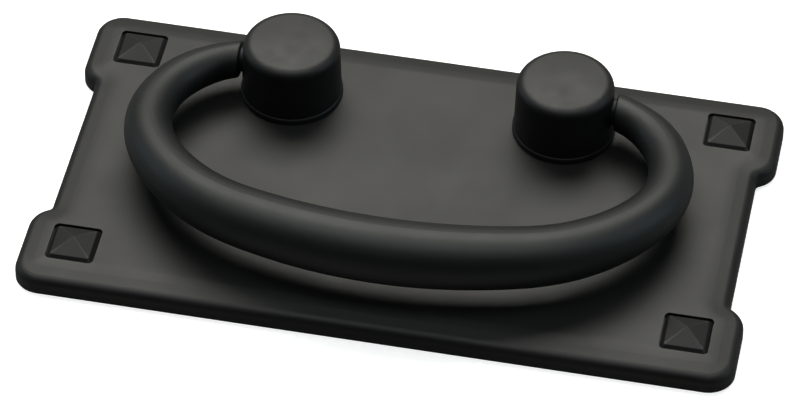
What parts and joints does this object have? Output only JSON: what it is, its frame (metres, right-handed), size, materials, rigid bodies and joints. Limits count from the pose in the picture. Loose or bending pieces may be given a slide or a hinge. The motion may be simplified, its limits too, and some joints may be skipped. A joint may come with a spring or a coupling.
{
  "type": "bail pull handle",
  "caption": "Matte black drawer pull: a tapered round bar bent to an oval swings between round posts on a bevelled backplate with pyramid corners.",
  "frame": {"origin": "middle of the plate's back face, the plane that lies on the drawer front", "axes": "+Z out of the plate's face, away from the drawer; +X along the plate's length; +Y towards the edge that carries the two posts, which is the upper edge on a drawer"},
  "size_m": [0.097, 0.0534, 0.0149],
  "materials": {
    "plate_coating": "matte black powder coat on a zinc die casting",
    "post_coating": "matte black powder coat on a zinc die casting",
    "bail_coating": "matte black powder coat, a little smoother where the fingers hold it"
  },
  "bodies": {
    "base": {"backplate": "plate_coating", "left_post": "post_coating", "right_post": "post_coating"},
    "handle": {"bail": "bail_coating"}
  },
  "joints": [
    {"name": "bail_swing", "type": "hinge", "parent": "base", "child": "handle", "pos_m": [0, 0.0155, 0.00775], "axis": [-1, 0, 0], "range_deg": [0, 171]}
  ]
}
